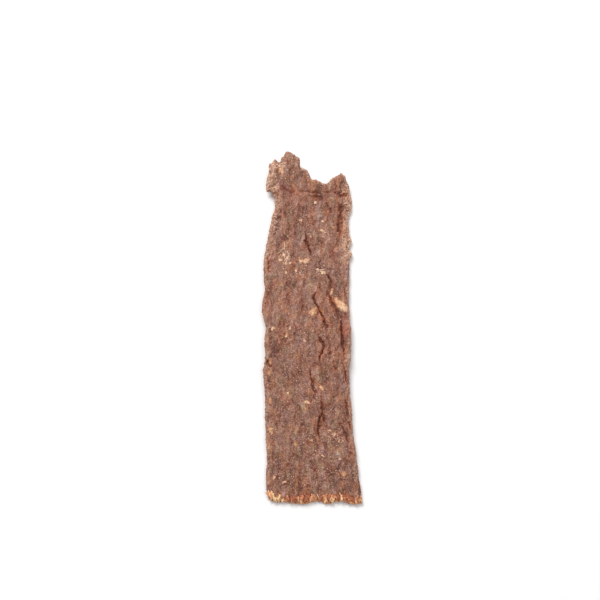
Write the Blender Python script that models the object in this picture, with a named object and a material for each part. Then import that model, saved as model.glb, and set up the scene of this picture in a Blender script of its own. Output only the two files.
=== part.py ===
"""A strip of dried venison jerky, lying face up on a flat surface.

It is pressed minced meat, torn across both ends. Drying has bowed it, curled its top end up and
cracked it along the grain. X runs across the strip, Y along it towards the curled end, and Z up.
The origin is on the surface that the strip lies on, under the middle of it.
Lengths are in millimetres until the mesh is made.
"""

import math
import random
from collections import namedtuple

import bmesh
import bpy
from mathutils import Vector, kdtree, noise
from mathutils.geometry import delaunay_2d_cdt

METRES_PER_MM = 0.001
NAME = "jerky_strip"

# The strip as a whole
HALF_LENGTH = 76.4
HALF_WIDTH = 18.0
THICKNESS = 2.9
FOOT_THINNING = 1.1  # how much thinner the torn foot is, eased out over FOOT_REACH
FOOT_REACH = 9.0
TOP_THINNING = 0.7
TOP_REACH = 12.0
THICKNESS_SWING = 0.35  # slow unevenness of the pressed sheet
SIDE_ROUNDING = 1.7  # how far in from the edge the sides are rounded
EDGE_SHARE = 0.3  # share of the thickness that is left at the very edge

# How drying has bent it
BOW = 1.5  # height of the arch between the two places where it touches down
BOW_FROM, BOW_TO = -68.0, 44.0
CURL = 2.6  # rise of the top end, as a smooth curve from CURL_FROM
CURL_FROM = 44.0
CREASE = 57.0  # the end beyond this crease is bent up further
CREASE_SLOPE = 0.09
TWIST = 0.7  # rise of one corner and fall of the next
CUP_AT_TOP = 0.9  # rise of the two sides over the middle
ARCH_AT_FOOT = 0.4  # rise of the middle over the two sides
SETTLING = 0.3  # the strip lies flat wherever it isn't lifted by more than this

# Outline: offset across the strip at stations along it, and the height of the two tears across it
LEFT_SIDE = (
    (-74.2, -16.6), (-66.0, -17.7), (-46.0, -17.9), (-26.0, -18.8), (-20.4, -19.5),
    (-15.0, -18.4), (-3.4, -18.3), (3.6, -19.8), (13.6, -19.0), (23.6, -19.5),
    (38.6, -17.3), (49.6, -15.0), (56.8, -15.3), (57.9, -18.6), (62.0, -18.6), (69.9, -17.2),
)
RIGHT_SIDE = (
    (-76.0, 19.9), (-61.4, 18.3), (-41.4, 16.3), (-26.0, 15.4), (-11.4, 16.4),
    (8.6, 15.5), (25.0, 15.9), (28.9, 17.3), (31.6, 16.1), (35.6, 17.0), (43.6, 15.8),
    (51.6, 17.2), (60.6, 15.9), (65.6, 14.7),
)
TOP_TEAR = (
    (-17.2, 69.9), (-16.2, 69.6), (-14.8, 72.0), (-12.4, 70.8), (-11.3, 74.0), (-9.5, 76.3),
    (-5.1, 73.7), (-4.3, 68.9), (-1.6, 67.8), (1.0, 63.7), (5.2, 62.3), (8.0, 62.2),
    (9.4, 64.3), (13.6, 66.4), (14.7, 65.6),
)
FOOT_TEAR = (
    (-16.6, -74.2), (-11.0, -75.3), (-3.4, -76.2), (3.0, -74.8), (7.6, -76.0),
    (10.6, -75.1), (15.6, -75.9), (19.9, -76.0),
)
SIDE_ROUGHNESS = 0.35
TEAR_ROUGHNESS = 0.75
ROUGHNESS_SIZE = 2.6  # length of the coarsest wobble in the outline
OUTLINE_STEP = 1.0

Crack = namedtuple("Crack", "course depth half_width")
CRACKS = (
    Crack(((-2.1, 37.4), (-1.1, 33.6), (0.2, 30.4)), 1.0, 0.7),
    Crack(((7.3, 20.1), (7.9, 17.8), (8.6, 15.2)), 0.9, 0.6),
    Crack(((6.9, 13.6), (8.3, 8.4), (9.9, 2.2), (10.0, 0.2)), 0.8, 0.8),
    Crack(((2.7, 13.1), (1.1, 10.1), (3.7, 4.1), (5.6, 0.2), (6.6, -5.6)), 1.0, 0.7),
    Crack(((2.8, -6.9), (5.1, -11.9), (4.0, -16.4), (3.2, -19.9)), 1.0, 0.7),
    Crack(((0.0, -20.9), (0.0, -25.0), (1.0, -29.9)), 0.8, 0.6),
    Crack(((4.0, -31.9), (3.9, -38.9), (2.6, -43.4), (2.5, -46.4), (3.7, -50.4)), 1.1, 0.8),
    Crack(((12.3, -1.4), (12.8, -11.4), (13.3, -16.4)), 1.0, 0.7),
    Crack(((12.7, -17.6), (13.6, -21.6), (14.4, -29.4)), 0.8, 0.6),
    Crack(((11.1, -42.9), (12.9, -46.4), (14.0, -50.6)), 0.8, 0.6),
    Crack(((13.0, 51.6), (12.6, 42.6), (12.1, 37.6)), 0.7, 0.9),
    Crack(((-12.3, 58.1), (-4.3, 57.4), (5.4, 56.8)), 0.8, 1.4),
    Crack(((-17.3, -16.6), (-16.4, -20.9)), 0.6, 0.7),
)
CRACK_STEP = 1.6
CRACK_WANDER = 0.3

Lump = namedtuple("Lump", "x y half_length half_width turn height")
LUMPS = (
    Lump(11.9, 7.1, 3.7, 1.9, -0.75, 0.55),
    Lump(-1.6, 25.9, 1.9, 1.6, 0.0, 0.4),
    Lump(1.9, 4.4, 1.5, 1.3, 0.0, 0.35),
    Lump(-12.1, 65.9, 1.6, 1.4, 0.0, 0.5),
    Lump(4.3, -29.5, 2.0, 1.0, 0.45, 0.35),
    Lump(-15.8, -46.9, 1.7, 1.5, 0.0, 0.35),
)

# Relief of the two faces: pressed folds, longer along the grain, with the grain of the mince on them
FOLD_ACROSS, FOLD_ALONG, FOLD_HEIGHT = 4.4, 8.0, 0.5
GRAIN_ACROSS, GRAIN_ALONG, GRAIN_HEIGHT = 1.9, 3.2, 0.36
TEAR_CRAGS = 1.0  # the grain stands this much higher again next to the tears
UNDERSIDE_SHARE = 0.6

# Crumbly rims that stand up along the sides, the left one being side -1
Rim = namedtuple("Rim", "side start end height")
RIMS = (Rim(-1, 20.0, 56.0, 0.45), Rim(1, 34.0, 55.0, 0.5), Rim(-1, -30.0, -12.0, 0.3))
RIM_INSET = 1.7
RIM_HALF_WIDTH = 1.3
RIM_FADE = 5.0

# Spacing of the points between the outline and the cracks
FILL_ACROSS = 1.35
FILL_ALONG = 1.6
FILL_SCATTER = 0.2
FILL_CLEARANCE = 0.8

MEAT_COLOUR = (0.30, 0.145, 0.10, 1.0)
MEAT_ROUGHNESS = 0.62


def between(profile, place):
    """The profile's value at a place, on straight lines from point to point."""
    for (start, low), (end, high) in zip(profile, profile[1:]):
        if place <= end:
            share = max(0.0, (place - start) / (end - start))
            return low + (high - low) * share
    return profile[-1][1]


def eased(share):
    share = min(1.0, max(0.0, share))
    return share * share * (3.0 - 2.0 * share)


def wobble(x, y, across, along, layer, octaves=2):
    """Smooth noise from about -1 to 1, stretched along the grain. Each layer is another pattern."""
    place = Vector((x / across, y / along, 7.37 * layer))
    return noise.fractal(place, 1.0, 2.0, octaves, noise_basis="PERLIN_ORIGINAL")


def steps(start, end, length):
    count = max(1, round(abs(end - start) / length))
    return [start + (end - start) * i / count for i in range(count)]


def outline():
    """The strip's edge as points, anticlockwise from the left end of the foot."""
    points = []
    for x in steps(FOOT_TEAR[0][0], FOOT_TEAR[-1][0], OUTLINE_STEP):
        ragged = wobble(x, -HALF_LENGTH, ROUGHNESS_SIZE, ROUGHNESS_SIZE, 1)
        points.append((x, between(FOOT_TEAR, x) + TEAR_ROUGHNESS * ragged))
    for y in steps(RIGHT_SIDE[0][0], RIGHT_SIDE[-1][0], OUTLINE_STEP):
        ragged = wobble(HALF_WIDTH, y, ROUGHNESS_SIZE, ROUGHNESS_SIZE, 2)
        points.append((between(RIGHT_SIDE, y) + SIDE_ROUGHNESS * ragged, y))
    for x in steps(TOP_TEAR[-1][0], TOP_TEAR[0][0], OUTLINE_STEP):
        ragged = wobble(x, HALF_LENGTH, ROUGHNESS_SIZE, ROUGHNESS_SIZE, 3)
        points.append((x, between(TOP_TEAR, x) + 0.5 * TEAR_ROUGHNESS * ragged))
    for y in steps(LEFT_SIDE[-1][0], LEFT_SIDE[0][0], OUTLINE_STEP):
        ragged = wobble(-HALF_WIDTH, y, ROUGHNESS_SIZE, ROUGHNESS_SIZE, 4)
        points.append((between(LEFT_SIDE, y) + SIDE_ROUGHNESS * ragged, y))
    return [Vector(point) for point in points]


def crack_line(crack, step):
    """The crack's course as points, wandering a little from side to side."""
    line = []
    for start, end in zip(crack.course, crack.course[1:]):
        start, end = Vector(start), Vector(end)
        count = max(1, round((end - start).length / step))
        line += [start.lerp(end, i / count) for i in range(count)]
    line.append(Vector(crack.course[-1]))
    for point in line[1:-1]:
        point.x += CRACK_WANDER * wobble(point.x, point.y, 2.0, 2.0, 5)
    return line


def distance_to_line(point, line):
    """How far the point is from the line, and how far along the line that is, from 0 to 1."""
    nearest, share = math.inf, 0.0
    for i, (start, end) in enumerate(zip(line, line[1:])):
        run = end - start
        t = min(1.0, max(0.0, (point - start).dot(run) / run.length_squared))
        gap = (point - start - run * t).length
        if gap < nearest:
            nearest, share = gap, (i + t) / (len(line) - 1)
    return nearest, share


def crack_depth(point, cracks):
    """How deep the deepest crack is at this point. A crack is shallow at its two ends."""
    deepest = 0.0
    for crack, line in cracks:
        gap, share = distance_to_line(point, line)
        if gap < crack.half_width:
            ends = min(1.0, 0.35 + 4.0 * min(share, 1.0 - share))
            deepest = max(deepest, crack.depth * ends * (1.0 - gap / crack.half_width))
    return deepest


def lump_height(x, y):
    """The rise of the knobs of fat that stand out of the meat."""
    total = 0.0
    for lump in LUMPS:
        along = (x - lump.x) * math.sin(lump.turn) + (y - lump.y) * math.cos(lump.turn)
        across = (x - lump.x) * math.cos(lump.turn) - (y - lump.y) * math.sin(lump.turn)
        reach = math.hypot(along / lump.half_length, across / lump.half_width)
        total += lump.height * (1.0 - eased(reach * 0.7))
    return total


def rim_height(x, y, edge):
    total = 0.0
    for rim in RIMS:
        if rim.side * x > 0.0 and rim.start < y < rim.end:
            reach = min(1.0, abs(edge - RIM_INSET) / RIM_HALF_WIDTH)
            faded = eased(min(y - rim.start, rim.end - y) / RIM_FADE)
            total += rim.height * faded * (1.0 - eased(reach))
    return total


def bent_height(x, y):
    """How high drying has lifted the strip off the surface here."""
    lift = 0.0
    if BOW_FROM < y < BOW_TO:
        phase = (y - BOW_FROM) / (BOW_TO - BOW_FROM)
        lift += BOW * math.sin(math.pi * phase) ** 2
    if y > CURL_FROM:
        lift += CURL * ((y - CURL_FROM) / (HALF_LENGTH - CURL_FROM)) ** 2
    lift += CREASE_SLOPE * max(0.0, y - CREASE)
    across, along = x / HALF_WIDTH, y / HALF_LENGTH
    lift += CUP_AT_TOP * across * across * max(0.0, along)
    lift += ARCH_AT_FOOT * (1.0 - across * across) * max(0.0, -along)
    lift -= TWIST * across * along
    return max(0.0, lift - SETTLING)


def thickness(x, y):
    foot = 1.0 - eased((y + HALF_LENGTH) / FOOT_REACH)
    top = 1.0 - eased((HALF_LENGTH - y) / TOP_REACH)
    swing = THICKNESS_SWING * wobble(x, y, 11.0, 16.0, 6)
    return THICKNESS + swing - FOOT_THINNING * foot - TOP_THINNING * top


def relief(x, y, edge, layer):
    """The unevenness of a face. It dies away at the sides and grows craggy at the tears."""
    folds = FOLD_HEIGHT * wobble(x, y, FOLD_ACROSS, FOLD_ALONG, layer)
    grain = GRAIN_HEIGHT * wobble(x, y, GRAIN_ACROSS, GRAIN_ALONG, layer + 1)
    near_tear = 1.0 - eased((HALF_LENGTH - 2.0 - abs(y)) / FOOT_REACH)
    return (folds + grain * (1.0 + TEAR_CRAGS * near_tear)) * eased(0.3 + edge / SIDE_ROUNDING)


def heights(point, edge, cracks):
    """The height of the underside and of the top face at this point of the sheet."""
    x, y = point
    body = thickness(x, y)
    inside = 1.0 - min(1.0, edge / SIDE_ROUNDING)
    fullness = max(EDGE_SHARE, math.sqrt(1.0 - inside * inside))
    middle = bent_height(x, y) + 0.5 * body
    top = middle + 0.5 * body * fullness + relief(x, y, edge, 10)
    top += lump_height(x, y) + rim_height(x, y, edge)
    top -= min(crack_depth(point, cracks), 0.5 * body)
    under = middle - 0.5 * body * fullness + UNDERSIDE_SHARE * relief(x, y, edge, 20)
    return max(0.0, under), top


def fill_points(edge_tree, kept_clear):
    """Scattered rows of points inside the outline, clear of it and of the cracks."""
    draw = random.Random(4)
    clear = kdtree.KDTree(len(kept_clear))
    for i, point in enumerate(kept_clear):
        clear.insert(point.to_3d(), i)
    clear.balance()
    points = []
    for row, y in enumerate(steps(-HALF_LENGTH, HALF_LENGTH, FILL_ALONG)):
        for x in steps(-HALF_WIDTH - 3.0, HALF_WIDTH + 3.0, FILL_ACROSS):
            spot = Vector((
                x + 0.5 * FILL_ACROSS * (row % 2) + draw.uniform(-1, 1) * FILL_SCATTER,
                y + draw.uniform(-1, 1) * FILL_SCATTER,
            ))
            if clear.find(spot.to_3d())[2] > FILL_CLEARANCE and is_inside(spot, edge_tree):
                points.append(spot)
    return points


def is_inside(spot, edge_tree):
    """Whether the spot is on the inner side of the nearest stretch of the outline."""
    tree, edge = edge_tree
    _, index, _ = tree.find(spot.to_3d())
    before, after = edge[index - 1], edge[(index + 1) % len(edge)]
    run, out = after - before, spot - edge[index]
    return run.x * out.y - run.y * out.x > 0.0


def shoulders(line, half_width):
    """Points along both brinks of a crack, which keep its walls narrow."""
    brinks = []
    for before, point, after in zip(line, line[1:], line[2:]):
        run = (after - before).normalized()
        aside = Vector((run.y, -run.x)) * half_width
        brinks += [point + aside, point - aside]
    return brinks


def strip_mesh():
    """The strip as one closed mesh: a flat sheet, thickened, then raised to its two faces."""
    edge = outline()
    edge_tree = kdtree.KDTree(len(edge))
    for i, point in enumerate(edge):
        edge_tree.insert(point.to_3d(), i)
    edge_tree.balance()

    cracks = [(crack, crack_line(crack, CRACK_STEP)) for crack in CRACKS]
    points = list(edge)
    constraints = []
    for crack, line in cracks:
        first = len(points)
        points += line
        constraints += [(first + i, first + i + 1) for i in range(len(line) - 1)]
    points += [brink for crack, line in cracks for brink in shoulders(line, crack.half_width)]
    points += fill_points((edge_tree, edge), points)
    corners, _, triangles, *_ = delaunay_2d_cdt(
        points, constraints, [list(range(len(edge)))], 1, 1e-5
    )

    body = bmesh.new()
    faces_of_body = ([], [])
    for corner in corners:
        _, _, distance = edge_tree.find(corner.to_3d())
        for side, height in zip(faces_of_body, heights(corner, distance, cracks)):
            place = Vector((corner.x, corner.y, height))
            side.append(body.verts.new(place * METRES_PER_MM))
    under, top = faces_of_body
    for a, b, c in triangles:
        body.faces.new((top[a], top[b], top[c]))
        body.faces.new((under[c], under[b], under[a]))
    rim = [edge for edge in body.edges if edge.is_boundary]
    bmesh.ops.bridge_loops(body, edges=rim)
    bmesh.ops.recalc_face_normals(body, faces=body.faces[:])

    mesh = bpy.data.meshes.new(NAME)
    body.to_mesh(mesh)
    body.free()
    return mesh


def meat_material():
    material = bpy.data.materials.new("dried_meat")
    material.use_nodes = True
    shader = material.node_tree.nodes["Principled BSDF"]
    shader.inputs["Base Color"].default_value = MEAT_COLOUR
    shader.inputs["Roughness"].default_value = MEAT_ROUGHNESS
    shader.inputs["Metallic"].default_value = 0.0
    return material


def main():
    for old in list(bpy.data.objects):
        bpy.data.objects.remove(old)
    collection = bpy.data.collections.new("venison_jerky_strip")
    bpy.context.scene.collection.children.link(collection)

    strip = bpy.data.objects.new(NAME, strip_mesh())
    strip.data.materials.append(meat_material())
    strip.data.shade_smooth()
    strip.data.set_sharp_from_angle(angle=math.radians(50))
    collection.objects.link(strip)


main()
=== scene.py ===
"""A strip of dried venison jerky on a pale floor.

Pressed minced meat, dried until it has bowed, curled at its top end and cracked along its grain.
X runs across the strip, Y along it towards the curled end, and Z up. Shapes are worked out in
millimetres and made into meshes in metres.
"""

import math
import random
from collections import namedtuple

import bpy
import numpy as np
from mathutils import Matrix, Vector, kdtree, noise
from mathutils.bvhtree import BVHTree


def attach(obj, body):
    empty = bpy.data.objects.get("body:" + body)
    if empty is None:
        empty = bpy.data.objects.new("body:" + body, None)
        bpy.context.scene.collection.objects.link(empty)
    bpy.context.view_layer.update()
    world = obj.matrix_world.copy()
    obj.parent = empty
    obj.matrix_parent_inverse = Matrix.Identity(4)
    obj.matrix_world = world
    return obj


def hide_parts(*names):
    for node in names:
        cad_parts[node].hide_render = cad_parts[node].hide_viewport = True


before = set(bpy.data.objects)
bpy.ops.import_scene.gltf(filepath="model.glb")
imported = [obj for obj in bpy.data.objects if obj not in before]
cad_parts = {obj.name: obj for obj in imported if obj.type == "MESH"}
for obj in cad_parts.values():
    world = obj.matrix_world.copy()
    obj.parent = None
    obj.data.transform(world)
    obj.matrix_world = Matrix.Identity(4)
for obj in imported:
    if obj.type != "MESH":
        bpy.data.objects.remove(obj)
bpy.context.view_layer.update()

MM = 0.001

# Noise vectors are drawn from a fixed seed, so that each run gives the same shapes
noise.seed_set(2)

# The strip as a whole
HALF_LENGTH = 76.4
HALF_WIDTH = 18.0
THICKNESS = 2.9
FOOT_THINNING, FOOT_REACH = 1.1, 9.0
TOP_THINNING, TOP_REACH = 0.7, 12.0
THICKNESS_SWING = 0.35
SIDE_ROUNDING = 1.7
EDGE_SHARE = 0.3
EDGE_SWELL = 0.3
RIM_CALM = 0.5

# The highest bumps are pressed down smoothly between these heights
LOW_TOP, HIGH_TOP = 5.6, 6.2

# The step from one noise pattern to the next
LAYER_STEP = 7.37

# Where the outline's slow swings, and its steps and teeth, begin to pull on the sheet
SLOW_TOP_FROM, SLOW_FOOT_FROM = 40.0, 56.0
STEP_TOP_FROM, STEP_FOOT_FROM, STEP_SIDE_FROM = 69.5, 71.4, 0.74
SWELL_END_FROM = 0.95
SLOW_REACH_AT_ENDS, SLOW_REACH_AT_SIDES = 3.0, 2.5
FIRST_HALF_WIDTH = 17.0

# Teeth of the edge: how wide the coarse and the fine ones are, and how high at each end and side
COARSE_TOOTH, FINE_TOOTH = 2.6, 0.8
TOP_TEETH, FOOT_TEETH, SIDE_TEETH = (0.25, 0.22), (0.3, 0.3), (0.18, 0.08)

# How drying has bent it
BOW, BOW_FROM, BOW_TO = 1.5, -68.0, 44.0
CURL, CURL_FROM = 2.6, 44.0
CREASE, CREASE_SLOPE = 57.0, 0.09
TWIST = 0.7
CUP_AT_TOP = 0.9
ARCH_AT_FOOT = 0.4
SETTLING = 0.3

# Outline: offset across the strip at stations along it, and the height of the two tears across it
LEFT_SIDE = (
    (-76.0, -15.6), (-74.2, -16.6), (-70.4, -17.3), (-66.0, -17.7), (-61.0, -17.4), (-51.4, -17.6),
    (-46.0, -17.9), (-41.4, -18.3), (-36.4, -18.1), (-31.4, -18.4), (-26.0, -18.8), (-21.4, -19.3),
    (-15.4, -18.1), (-11.4, -18.9), (-7.4, -18.5), (-3.4, -18.2), (3.6, -19.8), (8.6, -19.6),
    (13.6, -18.8), (18.6, -19.2), (23.6, -19.5), (28.6, -19.0), (33.6, -18.3), (38.6, -17.3),
    (43.6, -16.4), (46.6, -16.0), (49.6, -15.0), (53.6, -14.9), (56.6, -15.4), (57.4, -16.0),
    (57.9, -18.5), (60.6, -18.7), (63.6, -18.1), (65.6, -17.3), (68.6, -17.5), (70.1, -17.1),
)
RIGHT_SIDE = (
    (-76.0, 19.9), (-71.4, 19.5), (-66.4, 18.8), (-61.4, 18.3), (-56.4, 17.7), (-51.4, 17.1),
    (-46.4, 16.6), (-41.4, 16.3), (-36.4, 16.1), (-31.4, 15.7), (-26.4, 15.4), (-21.4, 15.5),
    (-16.4, 15.9), (-11.4, 16.5), (-6.4, 16.3), (3.6, 15.9), (8.6, 15.5), (18.6, 15.9),
    (23.6, 15.9), (26.6, 16.0), (29.6, 17.4), (31.6, 16.2), (33.6, 16.5), (35.6, 17.2),
    (38.6, 16.2), (43.6, 15.8), (46.6, 16.0), (49.6, 17.2), (53.6, 17.3), (57.6, 16.7),
    (60.6, 15.9), (62.6, 15.3), (65.1, 15.2), (66.2, 14.0),
)
TOP_TEAR = (
    (-17.3, 69.9), (-16.3, 69.4), (-14.8, 71.6), (-13.3, 70.5), (-12.3, 70.7), (-11.8, 72.6),
    (-10.8, 73.1), (-10.3, 75.0), (-9.5, 75.3), (-8.3, 74.7), (-6.3, 73.4), (-4.9, 72.8),
    (-4.5, 71.8), (-4.4, 68.5), (-2.8, 67.9), (-1.5, 67.2), (-0.5, 65.2), (0.5, 63.4),
    (3.2, 63.0), (4.7, 62.1), (6.7, 61.8), (7.9, 62.3), (9.5, 63.9), (11.2, 64.9), (12.4, 65.8),
    (13.4, 66.3), (14.5, 65.1), (15.3, 62.6),
)
FOOT_TEAR = (
    (-16.8, -73.9), (-15.3, -75.2), (-13.3, -75.4), (-11.3, -75.2), (-8.3, -75.6), (-5.3, -76.0),
    (-3.3, -76.2), (-1.3, -75.7), (0.7, -75.1), (2.7, -74.8), (3.7, -75.0), (5.7, -75.7),
    (7.7, -76.1), (9.7, -75.3), (11.7, -75.2), (13.7, -75.6), (15.7, -76.1), (18.7, -76.2),
    (20.1, -75.8),
)

# Cracks along the grain. A shade of 1 is a deep crack painted dark with its shade, and less is a shallow
# crease with less painted shade; red sets how strongly the red halo round it shows, partly painted shade
# along its valley
Crack = namedtuple("Crack", "depth half_width shade course red", defaults=(1.0,))
CRACKS = tuple(Crack(*row) for row in (
    (1.4, 0.5, 1.3, (
        (-2.3, 39.6), (-2.1, 38.6), (-1.9, 37.4), (-1.7, 36.0), (-1.6, 34.6), (-1.0, 33.0), (-0.7, 31.8),
        (-0.2, 30.4), (0.2, 29.4), (0.3, 28.4),
    )),
    (0.9, 0.38, 0.9, ((7.3, 20.1), (7.8, 18.1), (8.5, 15.4))),
    (0.7, 0.4, 0.7, (
        (6.9, 13.6), (7.2, 11.1), (7.9, 9.1), (8.5, 6.6), (9.5, 4.6), (9.9, 2.1), (10.0, 0.1),
    )),
    (1.1, 0.42, 1.0, (
        (2.7, 13.1), (1.1, 10.1), (1.5, 7.6), (2.7, 5.6), (3.7, 4.1), (4.5, 2.1), (5.5, 0.4),
        (5.9, -1.9), (6.3, -3.9), (6.6, -6.4),
    )),
    (1.1, 0.36, 0.95, (
        (2.7, -6.4), (3.7, -8.4), (4.9, -10.7), (5.2, -12.4), (4.7, -14.4), (4.0, -16.4),
        (3.5, -18.4), (3.2, -19.9),
    )),
    (0.9, 0.3, 0.8, (
        (0.0, -20.9), (-0.1, -23.4), (0.1, -25.9), (0.5, -27.9), (1.0, -29.9), (2.2, -31.2), (3.6, -32.4),
    )),
    (0.2, 1.0, 0.0, ((3.0, -19.2), (1.8, -20.2), (0.6, -20.6)), 1.1),
    (1.0, 0.32, 0.85, (
        (4.1, -30.6), (4.0, -33.2), (4.3, -36.2), (4.5, -38.4), (4.5, -40.4), (3.6, -41.8),
        (3.1, -43.6), (2.9, -45.2), (3.1, -47.2), (3.4, -49.4), (3.7, -52.2),
    )),
    (0.8, 0.6, 1.0, ((3.1, -44.6), (3.4, -46.2))),
    (0.7, 0.3, 0.8, ((4.6, -40.0), (5.2, -41.4), (5.6, -43.8))),
    (1.2, 0.38, 1.0, (
        (12.9, 1.4), (12.4, -1.4), (12.5, -3.9), (12.7, -7.4), (12.8, -11.4), (13.2, -14.4), (13.3, -16.4),
    )),
    (0.8, 0.3, 0.8, (
        (12.7, -17.4), (12.7, -19.4), (13.5, -21.4), (14.0, -23.9), (14.1, -26.4), (14.5, -29.4),
    )),
    (0.6, 0.28, 0.9, ((11.2, -43.6), (12.2, -45.6), (13.4, -47.8), (14.0, -50.2), (15.1, -53.2)), 0.8),
    (0.6, 0.28, 0.9, ((13.9, -33.8), (14.1, -36.4), (14.5, -39.4), (14.9, -42.6)), 0.8),
    (0.5, 0.3, 0.8, ((15.1, -43.0), (15.5, -46.2)), 0.8),
    (0.9, 0.4, 0.9, ((-17.5, -17.4), (-16.9, -18.9), (-16.1, -20.9))),
    (0.9, 0.75, 0.5, (
        (12.6, 54.2), (12.3, 51.6), (12.7, 48.6), (12.4, 45.6), (12.6, 42.6), (12.2, 39.6), (12.3, 35.6),
    ), 1.1),
    (0.5, 0.9, 0.35, (
        (-13.4, 60.8), (-12.0, 58.8), (-10.2, 58.4), (-8.4, 57.0), (-6.8, 57.2), (-5.4, 56.2),
    ), 1.0),
    (0.5, 0.55, 0.55, (
        (-5.2, 58.4), (-3.4, 57.6), (-1.6, 58.0), (0.8, 57.1), (2.6, 57.3), (4.2, 56.5),
    ), 1.0),
    (0.3, 1.3, 0.36, ((-10.8, 57.2), (-8.6, 55.6), (-5.8, 56.2), (-3.4, 55.1)), 0.8),
    (0.4, 0.9, 0.4, ((-1.6, 56.1), (0.8, 55.2), (2.6, 55.7), (4.6, 54.6), (6.4, 54.9)), 0.9),
    (0.3, 0.9, 0.3, ((4.4, 57.8), (6.4, 57.0), (8.6, 57.9), (10.2, 57.2)), 0.8),
    (0.9, 0.7, 0.6, ((9.4, 57.6), (11.0, 57.2), (12.4, 55.9), (14.0, 56.2), (15.8, 55.8)), 1.3),
    (0.5, 0.6, 0.35, ((10.6, 60.8), (10.8, 58.6), (11.6, 56.4)), 1.1),
    (0.5, 0.3, 0.6, ((7.7, -13.4), (8.0, -15.4))),
    (0.6, 0.3, 0.7, ((9.2, -17.4), (8.9, -19.4), (10.2, -22.4))),
    (0.5, 0.35, 0.5, ((8.7, 50.1), (8.7, 47.6))),
    (0.5, 0.45, 0.4, ((-17.3, 28.6), (-17.6, 25.6), (-17.1, 23.6), (-16.8, 19.6))),
    (0.5, 0.35, 0.5, ((2.0, -64.0), (1.0, -61.2))),
    (0.5, 0.4, 0.5, ((-9.4, -60.3), (-9.1, -61.9))),
    (0.5, 0.35, 0.5, ((-6.6, -1.6), (-6.0, -4.4))),
    (0.5, 0.35, 0.45, ((8.8, 17.6), (8.2, 14.8), (7.2, 12.6)), 1.2),
    (0.9, 0.65, 0.85, (
        (7.9, 10.4), (8.2, 8.8), (8.9, 6.8), (9.9, 4.9), (10.9, 3.3), (11.3, 1.4), (11.5, -0.8),
    ), 1.7),
    (0.4, 0.3, 0.4, ((6.6, -6.2), (7.0, -8.6), (7.6, -10.8), (7.7, -13.2)), 0.8),
    (0.4, 0.3, 0.35, ((-8.8, 12.4), (-9.4, 9.0), (-9.0, 5.6)), 0.8),
    (0.4, 0.3, 0.35, ((-3.6, 9.6), (-3.2, 6.2), (-3.8, 3.0)), 0.8),
    (0.4, 0.3, 0.35, ((-12.4, 51.0), (-12.0, 47.4), (-12.4, 44.2)), 0.8),
    (0.4, 0.3, 0.35, ((-5.0, 53.6), (-4.4, 50.2), (-4.8, 47.6)), 0.8),
    (0.4, 0.3, 0.4, ((8.6, 33.8), (9.2, 30.4), (9.0, 27.0)), 0.9),
    (0.4, 0.3, 0.35, ((-13.2, -8.2), (-13.6, -12.4), (-13.0, -16.2)), 0.8),
    (0.4, 0.3, 0.35, ((15.4, -52.4), (15.8, -55.2), (16.4, -58.0)), 0.8),
    (0.3, 1.2, 0.1, ((13.8, 3.4), (13.6, -1.0), (14.2, -5.4), (14.0, -9.0)), 1.1),
    (0.3, 1.0, 0.1, ((-17.2, 15.4), (-17.6, 9.6), (-17.2, 3.8)), 1.0),
))
CRACK_STEP = 0.5
CRACK_WANDER, WANDER_SIZE, WANDER_PATTERN = 0.45, 0.9, 3.7
CRACK_WIDENESS, LEAST_WIDTH = 0.7, 0.1
WIDTH_SWING, LEAST_SWING = 1.1, 0.5
CRACK_REACH = 3.5
LIP_HEIGHT, LIP_WIDTH = 0.2, 0.5
VALLEY_DEPTH, VALLEY_REACH = 0.3, 1.7
RED_REACH, RED_SWING, LEAST_RED_REACH = 0.7, 0.9, 0.3
GATHER, GATHER_REACH = 0.62, 1.3

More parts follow.
